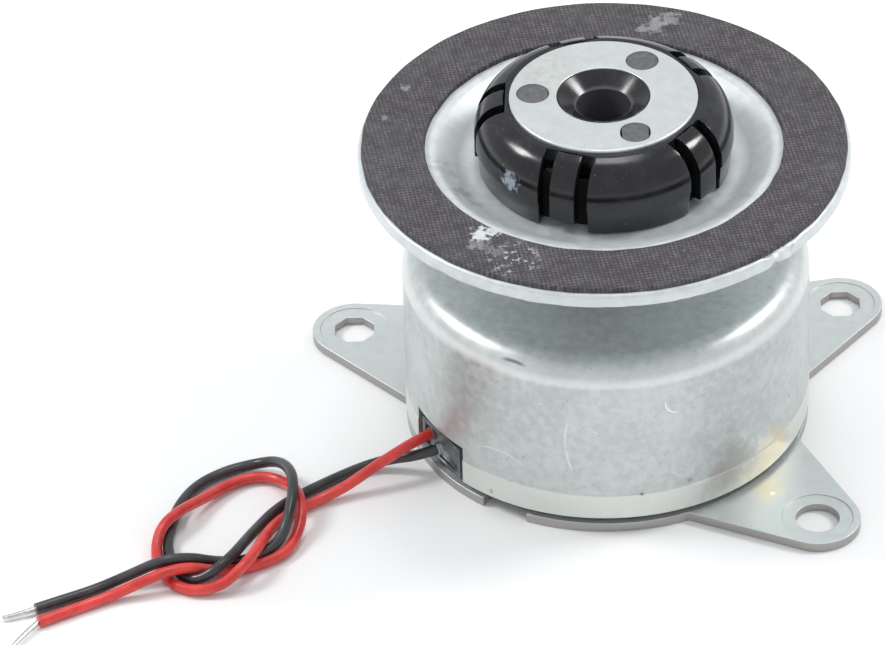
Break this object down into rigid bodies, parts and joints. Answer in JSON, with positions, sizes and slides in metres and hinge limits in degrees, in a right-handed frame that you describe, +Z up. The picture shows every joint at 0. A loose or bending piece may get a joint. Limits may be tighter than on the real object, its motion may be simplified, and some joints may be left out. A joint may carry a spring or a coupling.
{
  "type": "spindle motor",
  "caption": "Flat cylindrical DC motor on an eared mounting plate, with a matted disc turntable, a sprung centring hub and two knotted leads",
  "frame": {"origin": "on the spindle axis, in the lower face of the mounting plate", "axes": "+Z up the spindle away from the mounting plate; the round-holed ear lies 45.2 degrees from +X towards -Y, and the leads leave towards -X and -Y"},
  "size_m": [0.052, 0.035, 0.0225],
  "materials": {
    "zinc_steel": "zinc plated, dull mottled sheen",
    "plate_steel": "zinc plated, smooth satin",
    "turntable_steel": "zinc plated, smooth sheen",
    "clamp_steel": "bright plated",
    "mat_rubber": "matte, fine woven texture",
    "hub_plastic": "polished black",
    "rivet_plastic": "dark grey, satin",
    "bushing_plastic": "dark grey, slight gloss",
    "card_plastic": "moulded, matte",
    "washer_plastic": "natural nylon",
    "bronze": "sintered, oily",
    "ferrite": "ground, matte",
    "spring_steel": "rolled",
    "contact_metal": "rolled",
    "shaft_steel": "ground",
    "lamination_steel": "stamped stack",
    "copper_wire": "enamelled copper",
    "red_pvc": "satin",
    "black_pvc": "satin",
    "tinned_wire": "tinned strands"
  },
  "bodies": {
    "housing": {"mounting_plate": "plate_steel", "motor_can": "zinc_steel", "brush_card": "card_plastic", "lead_bushing": "bushing_plastic", "lower_bearing": "bronze", "upper_bearing": "bronze", "thrust_pad": "card_plastic", "field_magnet_front": "ferrite", "field_magnet_rear": "ferrite", "magnet_clip": "spring_steel", "brush_contact_front": "contact_metal", "brush_arm_front": "contact_metal", "brush_tab_front": "contact_metal", "brush_contact_rear": "contact_metal", "brush_arm_rear": "contact_metal", "brush_tab_rear": "contact_metal", "red_lead": "red_pvc", "black_lead": "black_pvc", "red_lead_end": "tinned_wire", "black_lead_end": "tinned_wire"},
    "rotor": {"motor_shaft": "shaft_steel", "armature_core": "lamination_steel", "armature_coil_1": "copper_wire", "armature_coil_2": "copper_wire", "armature_coil_3": "copper_wire", "commutator_sleeve": "card_plastic", "varistor_ring": "ferrite", "commutator_segments": "copper_wire", "lower_washer": "washer_plastic", "upper_spacer": "washer_plastic", "turntable_platter": "turntable_steel", "rubber_mat": "mat_rubber", "turntable_bush": "shaft_steel", "centering_hub": "hub_plastic", "clamp_plate": "clamp_steel", "clamp_rivets": "rivet_plastic"},
    "finger_1": {"spring_finger_1": "hub_plastic"},
    "finger_2": {"spring_finger_2": "hub_plastic"},
    "finger_3": {"spring_finger_3": "hub_plastic"},
    "finger_4": {"spring_finger_4": "hub_plastic"},
    "finger_5": {"spring_finger_5": "hub_plastic"}
  },
  "joints": [
    {"name": "spindle_turn", "type": "hinge", "parent": "housing", "child": "rotor", "pos_m": [0, 0, 0.012], "axis": [0, 0, 1], "continuous": true},
    {"name": "finger_flex_1", "type": "hinge", "parent": "rotor", "child": "finger_1", "pos_m": [0.00483, 0.00314, 0.02198], "axis": [-0.5446, 0.8387, 0], "range_deg": [0, 4], "stiffness_Nm_per_rad": 0.05},
    {"name": "finger_flex_2", "type": "hinge", "parent": "rotor", "child": "finger_2", "pos_m": [-0.00149, 0.00556, 0.02198], "axis": [-0.9659, -0.2588, 0], "range_deg": [0, 4], "stiffness_Nm_per_rad": 0.05},
    {"name": "finger_flex_3", "type": "hinge", "parent": "rotor", "child": "finger_3", "pos_m": [-0.00575, 0.0003, 0.02198], "axis": [-0.0523, -0.9986, 0], "range_deg": [0, 4], "stiffness_Nm_per_rad": 0.05},
    {"name": "finger_flex_4", "type": "hinge", "parent": "rotor", "child": "finger_4", "pos_m": [-0.00206, -0.00538, 0.02198], "axis": [0.9336, -0.3584, 0], "range_deg": [0, 4], "stiffness_Nm_per_rad": 0.05},
    {"name": "finger_flex_5", "type": "hinge", "parent": "rotor", "child": "finger_5", "pos_m": [0.00448, -0.00362, 0.02198], "axis": [0.6293, 0.7771, 0], "range_deg": [0, 4], "stiffness_Nm_per_rad": 0.05}
  ]
}
